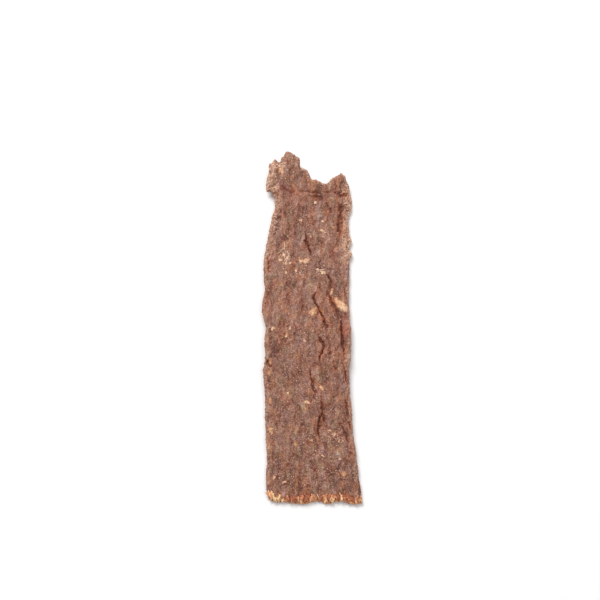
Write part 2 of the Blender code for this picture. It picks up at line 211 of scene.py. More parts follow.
# Knobs of fat in the meat: pale is 0 for tan-orange fat and 1 for cream
Knob = namedtuple("Knob", "x y half_length half_width turn height pale")
KNOBS = tuple(Knob(*row) for row in (
    (12.0, 6.4, 4.4, 2.0, -0.78, 0.5, 0.48), (13.8, 4.5, 1.6, 1.1, -0.7, 0.15, 1.0),
    (8.7, 12.2, 2.0, 0.6, 0.15, 0.2, 0.3), (-1.6, 25.9, 1.8, 1.3, 0.5, 0.4, 0.38),
    (-3.8, 25.8, 0.8, 1.2, 0.0, 0.15, 0.35), (-9.6, 27.2, 1.1, 0.7, 0.4, 0.15, 0.45),
    (-11.0, 28.9, 0.8, 0.6, -0.4, 0.12, 0.55), (-10.2, 24.6, 0.9, 0.5, 0.2, 0.12, 0.6),
    (-12.4, 26.4, 0.6, 0.7, 0.0, 0.1, 0.3), (-8.4, 25.0, 0.6, 0.5, 0.0, 0.1, 0.5),
    (1.2, 3.3, 2.1, 1.7, 0.5, 0.35, 0.1), (4.9, 2.9, 1.3, 0.8, -0.4, 0.3, 0.35),
    (-12.2, 66.2, 1.5, 1.1, -0.5, 0.45, 0.2), (-10.1, 20.7, 0.9, 0.6, 0.0, 0.2, 0.7),
    (2.1, 52.4, 0.9, 0.6, 0.2, 0.2, 1.0), (5.0, 39.7, 0.6, 1.2, 0.3, 0.15, 0.8),
    (-4.0, 44.6, 0.6, 0.8, 0.0, 0.12, 0.6), (5.0, 44.0, 0.5, 0.6, 0.0, 0.12, 0.75),
    (-15.3, -4.4, 1.0, 0.8, 0.3, 0.25, 0.5), (-8.3, -3.9, 1.1, 0.5, 0.1, 0.18, 0.55),
    (-9.6, -7.4, 1.6, 0.8, -0.1, 0.2, 0.35), (-2.5, -9.6, 0.5, 0.7, 0.0, 0.15, 0.7),
    (4.3, -29.4, 1.9, 0.7, -0.5, 0.3, 0.2), (-16.0, -34.9, 1.5, 0.9, 0.0, 0.25, 0.05),
    (-15.8, -46.9, 1.5, 1.3, 0.0, 0.35, 0.25), (-16.3, -18.9, 1.9, 0.8, 0.2, 0.25, 0.05),
    (-16.6, -22.9, 1.3, 0.8, 0.0, 0.15, 0.05), (5.2, 20.6, 0.8, 1.1, 0.0, 0.2, 0.9),
    (-5.8, 21.6, 0.9, 0.6, 0.3, 0.15, 0.4), (3.0, 22.1, 0.6, 0.7, 0.0, 0.12, 0.65),
    (-1.1, -71.9, 0.4, 0.5, 0.0, 0.12, 1.0), (12.7, -64.9, 1.3, 1.1, 0.0, 0.2, 0.0),
    (9.4, -48.6, 0.9, 0.5, 0.5, 0.18, 0.6), (7.2, -47.0, 0.5, 0.8, 0.0, 0.12, 0.5),
    (11.0, -51.6, 0.8, 0.4, 0.4, 0.15, 0.6), (16.6, 29.6, 1.1, 0.7, 0.0, 0.2, 0.8),
    (16.6, 35.6, 1.2, 0.5, 0.0, 0.15, 0.85), (9.2, 41.1, 0.7, 0.8, 0.0, 0.15, 0.1),
    (-9.0, -31.6, 0.8, 0.6, 0.6, 0.15, 0.55), (-1.2, -35.4, 0.8, 1.3, 0.0, 0.16, 0.55),
    (-6.0, -52.6, 1.5, 0.8, 0.0, 0.15, 0.1), (0.3, -50.9, 0.5, 0.8, 0.0, 0.15, 0.35),
    (-14.4, -66.0, 0.7, 0.7, 0.0, 0.15, 0.5), (4.6, -57.3, 0.4, 0.9, 0.5, 0.15, 0.75),
    (11.5, -58.6, 0.5, 0.5, 0.0, 0.14, 0.9), (-10.6, -67.9, 0.5, 1.0, -0.4, 0.14, 0.8),
))
KNOB_RAGGEDNESS, MOST_RAGGED = 0.9, 0.6
KNOB_TOP, KNOB_SLOPE = 0.2, 1.1
FAT_CORE, FAT_FADE = 0.5, 0.75
ORANGE_END = 0.35

Rim = namedtuple("Rim", "side start end height")
RIMS = (
    Rim(-1, 20.0, 56.0, 0.45), Rim(1, 33.0, 58.0, 0.7), Rim(-1, -30.0, -12.0, 0.3),
    Rim(1, 2.0, 33.0, 0.2), Rim(-1, -6.0, 20.0, 0.25),
)
RIM_INSET, RIM_HALF_WIDTH, RIM_FADE = 1.5, 1.4, 5.0

# Pale crumbly stretches of the edge: side, start and end along it, width, and how cream they are
DryEdge = namedtuple("DryEdge", "side start end width cream")
DRY_EDGES = (
    DryEdge(-1, 56.0, 73.0, 2.8, 1.0), DryEdge(-1, 20.0, 58.0, 2.2, 0.35),
    DryEdge(1, 24.0, 60.0, 2.7, 0.85), DryEdge(-1, -12.0, 20.0, 1.0, 0.2),
    DryEdge(1, -70.0, 20.0, 1.2, 0.3), DryEdge(-1, -70.0, -12.0, 1.1, 0.15),
)
DRY_TEAR_WIDTH, DRY_TEAR_FROM, TEAR_CREAM = 0.8, 60.0, 0.15
DRY_FADE, DRY_RAGGEDNESS = 3.0, 0.7

# The frayed foot: where it begins, how far that line swings, and how deep and steep its step is
FRAY_LINE, FRAY_SWING, FRAY_FINE_SWING = -72.6, 1.5, 0.9
FRAY_DEPTH, FRAY_FADE = 0.45, 1.4

# Relief of the two faces: pressed folds, strands and grains of mince on them, and grit on those
FOLD_ACROSS, FOLD_ALONG, FOLD_HEIGHT = 4.4, 8.0, 0.5
GRAIN_ACROSS, GRAIN_ALONG, GRAIN_HEIGHT = 1.9, 3.2, 0.3
STRAND_ACROSS, STRAND_ALONG, STRAND_HEIGHT = 2.4, 6.0, 0.1
RIDGE_ACROSS, RIDGE_ALONG, RIDGE_HEIGHT = 1.9, 4.6, 0.34
PEBBLE_ACROSS, PEBBLE_ALONG, PEBBLE_HEIGHT = 1.0, 1.4, 0.15
GRIT_ACROSS, GRIT_ALONG, GRIT_HEIGHT = 0.5, 0.6, 0.16
GRAIN_SWAY = 1.2
PEBBLE_SWAY, PEBBLE_SWAY_SIZE, PEBBLE_GAP = 0.45, 2.1, 0.45
CREASE_ACROSS, CREASE_ALONG, CREASE_DEPTH, CREASE_REACH = 2.8, 12.0, 0.18, 0.17
TEAR_CRAGS = 1.0

# Clusters of small grains of fat: centre, spread across and along, how many, and how pale
Cluster = namedtuple("Cluster", "x y across along count pale")
CLUSTERS = tuple(Cluster(*row) for row in (
    (-11.0, 28.0, 1.7, 2.8, 34, 0.65), (-1.6, 25.6, 1.3, 1.5, 10, 0.8),
    (-5.0, 20.2, 3.6, 1.5, 26, 0.45), (4.6, 21.4, 2.2, 1.1, 22, 0.85), (15.9, 29.6, 1.0, 1.8, 16, 0.7),
    (16.1, 35.6, 0.7, 1.2, 8, 0.8), (15.8, 46.0, 0.8, 6.0, 30, 0.5), (-14.8, 46.0, 0.9, 8.0, 44, 0.5),
    (-17.8, 30.0, 0.7, 8.0, 22, 0.4), (-17.4, 63.0, 0.8, 4.5, 34, 0.9), (9.4, -14.5, 1.2, 2.5, 12, 0.6),
    (-16.5, -20.5, 0.9, 4.0, 16, 0.5), (8.6, -49.4, 3.4, 4.4, 34, 0.6), (0.0, -49.0, 3.0, 2.2, 14, 0.5),
    (-14.6, -49.0, 1.5, 3.5, 12, 0.6), (-9.5, -66.0, 4.0, 2.6, 18, 0.6),
    (6.0, -61.0, 7.0, 6.0, 34, 0.5), (-1.0, -29.0, 9.0, 8.0, 34, 0.5), (0.0, 0.0, 12.0, 12.0, 34, 0.4),
    (0.0, 45.0, 9.0, 7.0, 26, 0.45), (-8.0, 66.0, 4.0, 5.0, 16, 0.4), (2.0, -66.0, 12.0, 4.0, 30, 0.4),
))

# How many more grains lie loose all over the face
LOOSE_GRAINS = 420
CLUSTER_RADII, LOOSE_RADII = (0.11, 0.23), (0.1, 0.2)

# Thin strands of gristle on the face: the middle of each, its turn from the grain, and its length
STRANDS = (
    (-10.6, 33.4, 0.1, 2.2), (-10.7, 31.6, -0.3, 1.8), (-11.8, 30.8, 1.2, 2.2), (-13.0, 29.8, 0.5, 1.8),
    (-9.5, 30.2, -0.5, 2.0), (-8.8, 28.6, -0.2, 2.2), (-8.6, 26.8, 0.1, 1.8), (-10.0, 25.4, 0.3, 2.4),
    (-11.2, 24.8, -0.2, 1.6), (-9.2, 34.2, 0.9, 1.4), (-12.9, 27.8, -0.2, 1.4), (-9.9, 32.4, 1.0, 1.2),
    (5.9, 38.6, 1.2, 2.3), (5.2, 36.6, 1.4, 1.2), (6.4, 34.4, 0.4, 0.9), (2.6, -57.4, 1.1, 1.1),
    (-10.6, -68.2, 1.0, 1.6), (-9.4, 37.2, 0.2, 1.5), (-0.6, 38.6, 0.9, 1.6), (0.2, 37.2, -0.4, 1.2),
    (13.2, 47.4, 0.4, 1.6), (14.6, 52.2, 0.9, 1.8), (-13.0, 52.8, 0.3, 1.8), (-15.6, 58.4, -0.8, 1.9),
)
UNDERSIDE_SHARE = 0.6

# Tufts along the foot, in rows from its edge inwards: how many, how far in, and how pale
FOOT_ROWS = ((86, 1.3, 0.46), (70, 2.3, 0.20), (50, 3.4, -0.02))
FOOT_START, FOOT_END = -17.0, 19.3
TUFT_LENGTHS, TUFT_WIDTHS = (1.3, 3.1), (0.3, 0.9)

# Clumps of tufts, from bare patches to full pale ones, and the paler tufts at the left corner
CLUMP_WIDTH, BARE_BELOW, CLUMP_PALER = 1.8, -0.15, 0.95
LEFT_CORNER, LEFT_CORNER_REACH, LEFT_CORNER_PALER = -15.5, 4.5, 0.65

# How much paler each scattered shape is at its tip than at its root
PALER_TIP = 0.36

# Flakes lie along the torn top and the sides above this, the right side only up to its corner
FLAKES_FROM, RIGHT_FLAKES_TO = 20.0, 62.0
FLAKE_STEP, FLAKE_SHARE = 0.33, 0.9

# Faces across, along and round the rim, and the middle share of the underside with coarser ones
GRID_ACROSS, GRID_ALONG, RIM_ROWS = 118, 488, 4
COARSE_ACROSS, COARSE_ALONG = 0.975, 0.994
ORIGIN = (0.0, 0.0, 0.0)

# Where the camera stands: how steeply it looks down on the strip, from how far, and at what point
CAMERA_ELEVATION = math.radians(68)
CAMERA_DISTANCE = 650.0
CAMERA_AIM = (-4.3, 8.6, 3.0)
CAMERA_LENS = 95.7


def between(profile, place):
    """The profile's values at these places, on straight lines from point to point."""
    stations, values = zip(*profile)
    return np.interp(place, stations, values)


def eased(share):
    share = np.clip(share, 0.0, 1.0)
    return share * share * (3.0 - 2.0 * share)


def grown(place, start, end):
    """Rises smoothly from 0 at the start to 1 at the end."""
    return eased((place - start) / (end - start))


def wobble(x, y, across, along, layer, octaves=2):
    """Smooth noise from about -1 to 1, stretched along the grain. Each layer is another pattern."""
    height = LAYER_STEP * layer
    return np.array([
        noise.fractal((a, b, height), 1.0, 2.0, octaves, noise_basis="PERLIN_ORIGINAL")
        for a, b in zip(x / across, y / along)
    ])


def cell_gaps(x, y, across, along, layer):
    """How far each point is from the borders of the cells that it lies among, 0 on a border."""
    height = LAYER_STEP * layer
    gaps = []
    for a, b in zip(x / across, y / along):
        nearest = noise.voronoi((a, b, height))[0]
        gaps.append(nearest[1] - nearest[0])
    return np.array(gaps)


def pebbles(x, y, across, along, layer):
    """Rounded grains with narrow creases between them, from 0 in a crease to about 1."""
    sway_across, sway_along = PEBBLE_SWAY_SIZE * across, PEBBLE_SWAY_SIZE * along
    x = x + PEBBLE_SWAY * across * wobble(x, y, sway_across, sway_along, layer + 1)
    y = y + PEBBLE_SWAY * along * wobble(x, y, sway_across, sway_along, layer + 2)
    return eased(cell_gaps(x, y, across, along, layer) / PEBBLE_GAP)


def softened(profile, place, reach):
    """The profile averaged to both sides, so that its steps become slopes."""
    shifts = np.linspace(-reach, reach, 9)
    return np.mean([between(profile, place + shift) for shift in shifts], axis=0)


def teeth(x, y, heights, layer):
    """Coarse and fine teeth of these two heights."""
    coarse = wobble(x, y, COARSE_TOOTH, COARSE_TOOTH, layer)
    return heights[0] * coarse + heights[1] * wobble(x, y, FINE_TOOTH, FINE_TOOTH, layer + 20, 3)


def to_outline(u, v):
    """Carries points of the plain sheet, u across and v along it, to their places in the strip.

    The slow swings of the outline are spread far into the strip, and its steps and teeth only
    over the last few millimetres, so that the grain isn't dragged along with them.
    """
    x = FIRST_HALF_WIDTH * u
    far, near = np.full_like(u, HALF_LENGTH), np.full_like(u, -HALF_LENGTH)
    sheet = HALF_LENGTH * v
    for _ in range(3):
        top = softened(TOP_TEAR, x, SLOW_REACH_AT_ENDS)
        foot = softened(FOOT_TEAR, x, SLOW_REACH_AT_ENDS)
        top_step = between(TOP_TEAR, x) - top + teeth(x, far, TOP_TEETH, 3)
        foot_step = between(FOOT_TEAR, x) - foot + teeth(x, near, FOOT_TEETH, 1)
        y = sheet + (top - HALF_LENGTH) * grown(sheet, SLOW_TOP_FROM, HALF_LENGTH)
        y = y + (foot + HALF_LENGTH) * grown(-sheet, SLOW_FOOT_FROM, HALF_LENGTH)
        y = y + top_step * grown(sheet, STEP_TOP_FROM, HALF_LENGTH)
        y = y + foot_step * grown(-sheet, STEP_FOOT_FROM, HALF_LENGTH)
        left = softened(LEFT_SIDE, y, SLOW_REACH_AT_SIDES)
        right = softened(RIGHT_SIDE, y, SLOW_REACH_AT_SIDES)
        x = 0.5 * (left + right) + 0.5 * (right - left) * u
        side = np.where(u > 0.0, HALF_WIDTH, -HALF_WIDTH)
        step = np.where(u > 0.0, between(RIGHT_SIDE, y) - right, between(LEFT_SIDE, y) - left)
        step = step + np.sign(u) * (teeth(side, y, SIDE_TEETH, 2) - EDGE_SWELL)
        x = x + step * grown(abs(u), STEP_SIDE_FROM, 1.0)
    return x, y - np.sign(v) * EDGE_SWELL * grown(abs(v), SWELL_END_FROM, 1.0)


def crack_line(crack):
    """The crack's course in short steps, wandering a little from side to side."""
    line = []
    for start, end in zip(crack.course, crack.course[1:]):
        start, end = Vector(start), Vector(end)
        count = max(1, round((end - start).length / CRACK_STEP))
        line += [start.lerp(end, i / count) for i in range(count)]
    line.append(Vector(crack.course[-1]))
    for point in line[1:-1]:
        place = (point.x / WANDER_SIZE, point.y / WANDER_SIZE, WANDER_PATTERN)
        point.x += CRACK_WANDER * noise.fractal(place, 0.7, 2.0, 3, noise_basis="PERLIN_ORIGINAL")
    return np.array([tuple(point) for point in line])


def nearest_on_line(line, x, y):
    """For each point its distance to the line, how far along the line that is, and where."""
    gap, share = np.full(len(x), np.inf), np.zeros(len(x))
    foot_x, foot_y = np.zeros(len(x)), np.zeros(len(x))
    for i, (start, end) in enumerate(zip(line, line[1:])):
        run = end - start
        t = np.clip(((x - start[0]) * run[0] + (y - start[1]) * run[1]) / (run @ run), 0.0, 1.0)
        on_x, on_y = start[0] + t * run[0], start[1] + t * run[1]
        away = np.hypot(x - on_x, y - on_y)
        closer = away < gap
        gap = np.where(closer, away, gap)
        share = np.where(closer, (i + t) / (len(line) - 1), share)
        foot_x, foot_y = np.where(closer, on_x, foot_x), np.where(closer, on_y, foot_y)
    return gap, share, foot_x, foot_y


def close_to(line, x, y, reach):
    low, high = line.min(axis=0) - reach, line.max(axis=0) + reach
    return np.nonzero((x > low[0]) & (x < high[0]) & (y > low[1]) & (y < high[1]))[0]


def ends_faded(share):
    """Full along a crack's middle and fading to its two ends."""
    return np.clip(5.0 * np.minimum(share, 1.0 - share), 0.0, 1.0)


def gather_at_cracks(x, y):
    """Draws the points of the sheet towards the cracks, where narrow shapes need more of them."""
    x, y = x.copy(), y.copy()
    for crack in CRACKS:
        line = crack_line(crack)
        near = close_to(line, x, y, GATHER_REACH)
        gap, share, foot_x, foot_y = nearest_on_line(line, x[near], y[near])
        pull = GATHER * (1.0 - np.minimum(1.0, gap / GATHER_REACH)) * ends_faded(share)
        x[near] += (foot_x - x[near]) * pull
        y[near] += (foot_y - y[near]) * pull
    return x, y


def deepened(mask, near, values):
    """Raises the mask to these values at the near points, where it is below them."""
    mask[near] = np.maximum(mask[near], values)


def crack_masks(x, y):
    """How deep the cracks are at these points, less their raised lips, their painted shade, and their red
    halo, which is partly painted shade along their valleys.
    """
    deepest, inside, red_and_shade_halo, lip, valley = (np.zeros_like(x) for _ in range(5))
    for number, crack in enumerate(CRACKS):
        line = crack_line(crack)
        near = close_to(line, x, y, CRACK_REACH)
        px, py = x[near], y[near]
        gap, share, _, _ = nearest_on_line(line, px, py)
        ends = 0.15 + 0.85 * ends_faded(share)
        swing = np.maximum(LEAST_SWING, 1.0 + WIDTH_SWING * wobble(px, py, 1.0, 1.8, 60 + number))
        width = CRACK_WIDENESS * crack.half_width * (0.4 + 0.6 * ends) * swing
        width = np.maximum(LEAST_WIDTH, width)
        cut = np.clip(1.0 - gap / (1.5 * width), 0.0, 1.0)
        deepened(deepest, near, crack.depth * ends * cut ** 0.8)
        deepened(valley, near, crack.depth * ends * np.exp(-(gap / VALLEY_REACH) ** 2))
        beside = (gap - 1.9 * width - 0.2) / LIP_WIDTH
        deepened(lip, near, LIP_HEIGHT * crack.depth * ends * np.exp(-beside ** 2))
        # Painted shade in the crack, darkest along its middle
        shade = np.clip(1.4 - gap / width, 0.0, 1.0) * (0.25 + 0.75 * ends) * crack.shade
        deepened(inside, near, shade)
        # The red halo round the crack: partly the meat's own red, partly painted shade
        spread = RED_REACH + crack.half_width + RED_SWING * wobble(px, py, 1.2, 2.4, 90 + number)
        red_and_shade_share = np.clip(1.2 - gap / np.maximum(LEAST_RED_REACH, spread), 0.0, 1.0)
        deepened(red_and_shade_halo, near, crack.red * ends * red_and_shade_share)
    # Painted shade along each crack's valley is added to the red halo
    return deepest - lip + VALLEY_DEPTH * valley, inside, np.minimum(1.0, red_and_shade_halo + 0.25 * valley)


def knob_masks(x, y):
    """The rise of the knobs of fat, how much of each point is fat, and how pale that fat is."""
    rise, fat, pale = np.zeros_like(x), np.zeros_like(x), np.zeros_like(x)
    ragged = wobble(x, y, 1.0, 1.2, 30, 3)
    for knob in KNOBS:
        near = np.nonzero(np.hypot(x - knob.x, y - knob.y) < 2.2 * knob.half_length + 1.0)[0]
        dx, dy = x[near] - knob.x, y[near] - knob.y
        along = dx * math.sin(knob.turn) + dy * math.cos(knob.turn)
        across = dx * math.cos(knob.turn) - dy * math.sin(knob.turn)
        reach = np.hypot(along / knob.half_length, across / knob.half_width)
        reach = reach + min(MOST_RAGGED, KNOB_RAGGEDNESS / knob.half_length) * ragged[near]
        rise[near] += knob.height * (1.0 - eased((reach - KNOB_TOP) / KNOB_SLOPE))
        share = 1.0 - eased((reach - FAT_CORE) / FAT_FADE)
        paleness = knob.pale - ORANGE_END * along / knob.half_length
        pale[near] = np.where(share > fat[near], paleness, pale[near])
        fat[near] = np.maximum(fat[near], share)
    return rise, fat, pale


def on_stretch(stretch, x, y, from_middle, fade):
    """1 along this stretch of one side, fading out towards its two ends, and 0 elsewhere."""
    return (stretch.side * x > from_middle) * eased(np.minimum(y - stretch.start, stretch.end - y) / fade)


def rim_height(x, y, edge):
    total = np.zeros_like(x)
    for rim in RIMS:
        share = on_stretch(rim, x, y, 0.0, RIM_FADE)
        total += rim.height * share * (1.0 - eased(abs(edge - RIM_INSET) / RIM_HALF_WIDTH))
    return total


def bent_height(x, y):
    """How high drying has lifted the strip off the floor here."""
    phase = np.clip((y - BOW_FROM) / (BOW_TO - BOW_FROM), 0.0, 1.0)
    lift = BOW * np.sin(math.pi * phase) ** 2
    lift += CURL * (np.maximum(0.0, y - CURL_FROM) / (HALF_LENGTH - CURL_FROM)) ** 2
    lift += CREASE_SLOPE * np.maximum(0.0, y - CREASE)
    across, along = x / HALF_WIDTH, y / HALF_LENGTH
    lift += CUP_AT_TOP * across * across * np.maximum(0.0, along)
    lift += ARCH_AT_FOOT * (1.0 - across * across) * np.maximum(0.0, -along)
    lift -= TWIST * across * along
    return np.maximum(0.0, lift - SETTLING)


def thickness(x, y):
    foot = 1.0 - eased((y + HALF_LENGTH) / FOOT_REACH)
    top = 1.0 - eased((HALF_LENGTH - y) / TOP_REACH)
    swing = THICKNESS_SWING * wobble(x, y, 11.0, 16.0, 6)
    return THICKNESS + swing - FOOT_THINNING * foot - TOP_THINNING * top


def relief(x, y, edge, layer):
    """The unevenness of a face. It dies away at the sides and grows craggy at the tears."""
    folds = FOLD_HEIGHT * wobble(x, y, FOLD_ACROSS, FOLD_ALONG, layer)
    grain = GRAIN_HEIGHT * wobble(x, y, GRAIN_ACROSS, GRAIN_ALONG, layer + 1)
    near_tear = 1.0 - eased((HALF_LENGTH - 2.0 - abs(y)) / FOOT_REACH)
    return (folds + grain * (1.0 + TEAR_CRAGS * near_tear)) * eased(0.3 + edge / SIDE_ROUNDING)


def fine_relief(x, y, layer):
    """Strands pressed side by side, grains of mince in patches between them, and grit all over."""
    patches = eased(0.5 + 1.4 * wobble(x, y, 5.0, 9.0, layer + 5))
    x = x + GRAIN_SWAY * wobble(x, y, 5.0, 6.0, layer + 7)
    strands = pebbles(x, y, STRAND_ACROSS, STRAND_ALONG, layer + 9) - 0.8
    grains = pebbles(x, y, PEBBLE_ACROSS, PEBBLE_ALONG, layer) - 0.6
    ridges = wobble(x, y, RIDGE_ACROSS, RIDGE_ALONG, layer + 3)
    grit = wobble(x, y, GRIT_ACROSS, GRIT_ALONG, layer + 6, 3)
    height = STRAND_HEIGHT * strands * (1.0 - 0.7 * patches) + RIDGE_HEIGHT * ridges
    return height + PEBBLE_HEIGHT * grains * (0.3 + 0.7 * patches) + GRIT_HEIGHT * grit


def crease_net(x, y, layer):
    """Fine creases that run along the grain, part and meet again, and fade out in places."""
    x = x + 1.1 * wobble(x, y, 2.6, 5.0, layer + 1, 3)
    y = y + 2.0 * wobble(x, y, 3.0, 6.0, layer + 2)
    gaps = cell_gaps(x, y, CREASE_ACROSS, CREASE_ALONG, layer)
    shown = eased((wobble(x, y, 3.5, 7.0, layer + 3) + 0.02) / 0.4)
    return (1.0 - eased(gaps / CREASE_REACH)) * shown


def dry_masks(x, y, edge):
    """How dry and crumbled each point is, and how cream its dryness looks."""
    ragged = DRY_RAGGEDNESS * wobble(x, y, 1.6, 2.4, 45, 3)
    tear = (y > DRY_TEAR_FROM) & (edge < 2.5)
    dry = np.where(tear, 1.0 - eased(edge / DRY_TEAR_WIDTH - 0.5 + ragged), 0.0)
    cream = np.full_like(x, TEAR_CREAM)
    for part in DRY_EDGES:
        share = on_stretch(part, x, y, 10.0, DRY_FADE)
        share = share * (1.0 - eased(edge / part.width - 0.5 + ragged))
        cream = np.where(share > dry, part.cream, cream)
        dry = np.maximum(dry, share)
    return dry, cream


def to_mode(mode):
    bpy.ops.object.mode_set(mode=mode)


def plain_slab():
    """A fine flat slab, one unit in each direction, with rows of faces round its rim."""
    bpy.ops.mesh.primitive_grid_add(
        x_subdivisions=GRID_ACROSS, y_subdivisions=GRID_ALONG, size=2.0, location=ORIGIN
    )
    slab = bpy.context.object
    to_mode("EDIT")
    bpy.ops.mesh.extrude_region_move(TRANSFORM_OT_translate={"value": (0.0, 0.0, 1.0)})
    bpy.ops.mesh.select_all(action="SELECT")
    bpy.ops.mesh.normals_make_consistent(inside=False)
    bpy.ops.mesh.select_all(action="DESELECT")
    to_mode("OBJECT")
    mesh = slab.data
    for edge in mesh.edges:
        start, end = (mesh.vertices[i].co for i in edge.vertices)
        edge.select = abs(end.z - start.z) > 0.5
    to_mode("EDIT")
    bpy.ops.mesh.select_mode(type="EDGE")
    bpy.ops.mesh.subdivide(number_cuts=RIM_ROWS - 1)
    bpy.ops.mesh.select_all(action="DESELECT")
    to_mode("OBJECT")
    for vertex in mesh.vertices:
        u, v, w = vertex.co
        vertex.select = w < 0.01 and abs(u) < COARSE_ACROSS and abs(v) < COARSE_ALONG
    for part in (*mesh.edges, *mesh.polygons):
        part.select = all(mesh.vertices[i].select for i in part.vertices)
    to_mode("EDIT")
    bpy.ops.mesh.select_mode(type="VERT")
    bpy.ops.mesh.unsubdivide(iterations=2)
    to_mode("OBJECT")
    return slab


def read_vectors(items, attribute):
    """This attribute of all the items, a row for each."""
    flat = np.empty(3 * len(items))
    items.foreach_get(attribute, flat)
    return flat.reshape(-1, 3)


def write_points(mesh, points):
    mesh.vertices.foreach_set("co", points.ravel())
    mesh.update()


def write_masks(mesh, masks):
    for name, values in masks.items():
        layer = mesh.attributes.new(name, "FLOAT", "POINT")
        layer.data.foreach_set("value", np.asarray(values, dtype=np.float32))


def edge_distance(x, y, on_rim):
    """How far each point is from the strip's edge, seen from above."""
    edge_x, edge_y = x[on_rim], y[on_rim]
    tree = kdtree.KDTree(len(edge_x))
    for i, place in enumerate(zip(edge_x, edge_y)):
        tree.insert((*place, 0.0), i)
    tree.balance()
    return np.array([tree.find((a, b, 0.0))[2] for a, b in zip(x, y)])


def make_strip():
    """The strip itself: a slab drawn to the torn outline, bent, cracked and roughened."""
    strip = plain_slab()
    strip.name = strip.data.name = "strip_meat"
    mesh = strip.data
    u, v, w = read_vectors(mesh.vertices, "co").T
    on_rim = (abs(abs(u) - 1.0) < 1e-4) | (abs(abs(v) - 1.0) < 1e-4)
    x, y = to_outline(u, v)
    gathered_x, gathered_y = gather_at_cracks(x, y)
    x, y = np.where(on_rim, x, gathered_x), np.where(on_rim, y, gathered_y)
    edge = edge_distance(x, y, on_rim)

    body = thickness(x, y)
    inside = 1.0 - np.minimum(1.0, edge / SIDE_ROUNDING)
    fullness = np.maximum(EDGE_SHARE, np.sqrt(1.0 - inside * inside))
    middle = bent_height(x, y) + 0.5 * body
    depth, crack, red_and_shade_halo = crack_masks(x, y)
    upper = np.where(w > 0.4, 1.0, -1.0)
    rise, fat, pale = knob_masks(upper * x, upper * y)
    foot_line = FRAY_LINE + FRAY_SWING * wobble(x, y, 2.5, 9.0, 40)
    foot_line = foot_line + FRAY_FINE_SWING * wobble(x, y, 0.9, 3.0, 41)
    frayed = eased((foot_line - y) / FRAY_FADE)
    dry, cream = dry_masks(x, y, edge)

    top = middle + 0.5 * body * fullness + relief(x, y, edge, 10)
    top += rise * (w > 0.4) + rim_height(x, y, edge)
    top -= np.minimum(depth, 0.5 * body) + FRAY_DEPTH * frayed
    under = middle - 0.5 * body * fullness + UNDERSIDE_SHARE * relief(x, y, edge, 20)
    z = under + (top - under) * w
    write_points(mesh, np.column_stack((x, y, z)))

    normals = read_vectors(mesh.vertex_normals, "vector")
    fine = np.where(w > 0.5, fine_relief(x, y, 12), 0.8 * fine_relief(x + 50.0, y + 3.1 * z, 22))
    # The crease net sinks the fine creases and also carries their painted shade
    crease = crease_net(x, y + 200.0 * (w < 0.5), 31) * (1.0 - fat)
    fine = fine * (1.0 + 0.9 * frayed + 0.8 * dry) * (1.0 - 0.6 * fat) - CREASE_DEPTH * crease
    fine = np.where(on_rim, RIM_CALM * fine, fine)
    bulge = np.where(on_rim, EDGE_SWELL * np.sin(math.pi * w), 0.0)
    points = np.column_stack((x, y, z)) + normals * (fine + bulge)[:, None]
    over = np.maximum(0.0, points[:, 2] - LOW_TOP)
    points[:, 2] -= over - (HIGH_TOP - LOW_TOP) * np.tanh(over / (HIGH_TOP - LOW_TOP))
    points[:, 2] = np.maximum(0.0, points[:, 2])
    write_points(mesh, points * MM)

    on_face = w > 0.5
    write_masks(mesh, {
        # The red halo round the cracks is partly painted shade in their valleys
        # crack holds the painted shade in the cracks
        # crease holds the painted shade in the fine creases
        "crack": crack * on_face, "red_and_shade_halo": red_and_shade_halo * on_face, "crease": crease, "fat": fat, "pale": pale,
        # rise paints the hollows of the relief darker and its crests lighter: painted shade and light
        "rise": 0.5 + 1.6 * fine, "frayed": frayed, "dry": dry, "cream": cream,
        "top_end": grown(y, 54.0, 60.0) * (1.0 - 1.2 * grown(x, 3.0, 10.0)),
        "tip": 1.0 - eased(edge / 1.3),
    })
    mesh.shade_smooth()
    return strip


def surface_of(piece):
    """A function that finds the place and the outward direction of the piece's top at x, y."""
    mesh = piece.data
    tree = BVHTree.FromPolygons([v.co for v in mesh.vertices], [p.vertices for p in mesh.polygons])

    def find(x, y):
        place, outward, _, _ = tree.ray_cast(Vector((x * MM, y * MM, 0.05)), Vector((0.0, 0.0, -1.0)))
        return place, outward

    return find


def grain_kind(number):
    """A small rounded grain of fat, one unit in radius and a little flat."""
    bpy.ops.mesh.primitive_uv_sphere_add(segments=8, ring_count=5, radius=1.0, location=ORIGIN)
    grain = bpy.context.object
    to_mode("EDIT")
    bpy.ops.mesh.select_all(action="SELECT")
    bpy.ops.transform.resize(value=(1.0, 1.15 + 0.25 * number, 0.75))
    to_mode("OBJECT")
    for vertex in grain.data.vertices:
        vertex.co *= 1.0 + 0.5 * noise.noise(vertex.co * 0.9 + Vector((0.0, 0.0, 5.3 * number)))
    return grain


def tuft_kind(number):
    """A ragged flake one unit long that narrows from its root, at the origin, to its tip at -Y."""
    bpy.ops.mesh.primitive_cube_add(size=1.0, location=(0.0, -0.5, 0.0))
    tuft = bpy.context.object
    to_mode("EDIT")
    bpy.ops.mesh.select_all(action="SELECT")
    bpy.ops.mesh.subdivide(number_cuts=2)
    to_mode("OBJECT")
    for vertex in tuft.data.vertices:
        x, y, z = vertex.co
        narrow = 1.0 - 0.88 * max(0.0, -y) ** 1.2
        rough = noise.noise_vector(Vector((2.3 * x, 2.3 * y, 2.3 * z + 4.1 * number)))
        bend = 0.25 * math.sin(2.2 * y + number) - 0.25 * math.sin(number)
        vertex.co = Vector((x * narrow + bend, y, z * narrow)) + 0.16 * rough
    return tuft


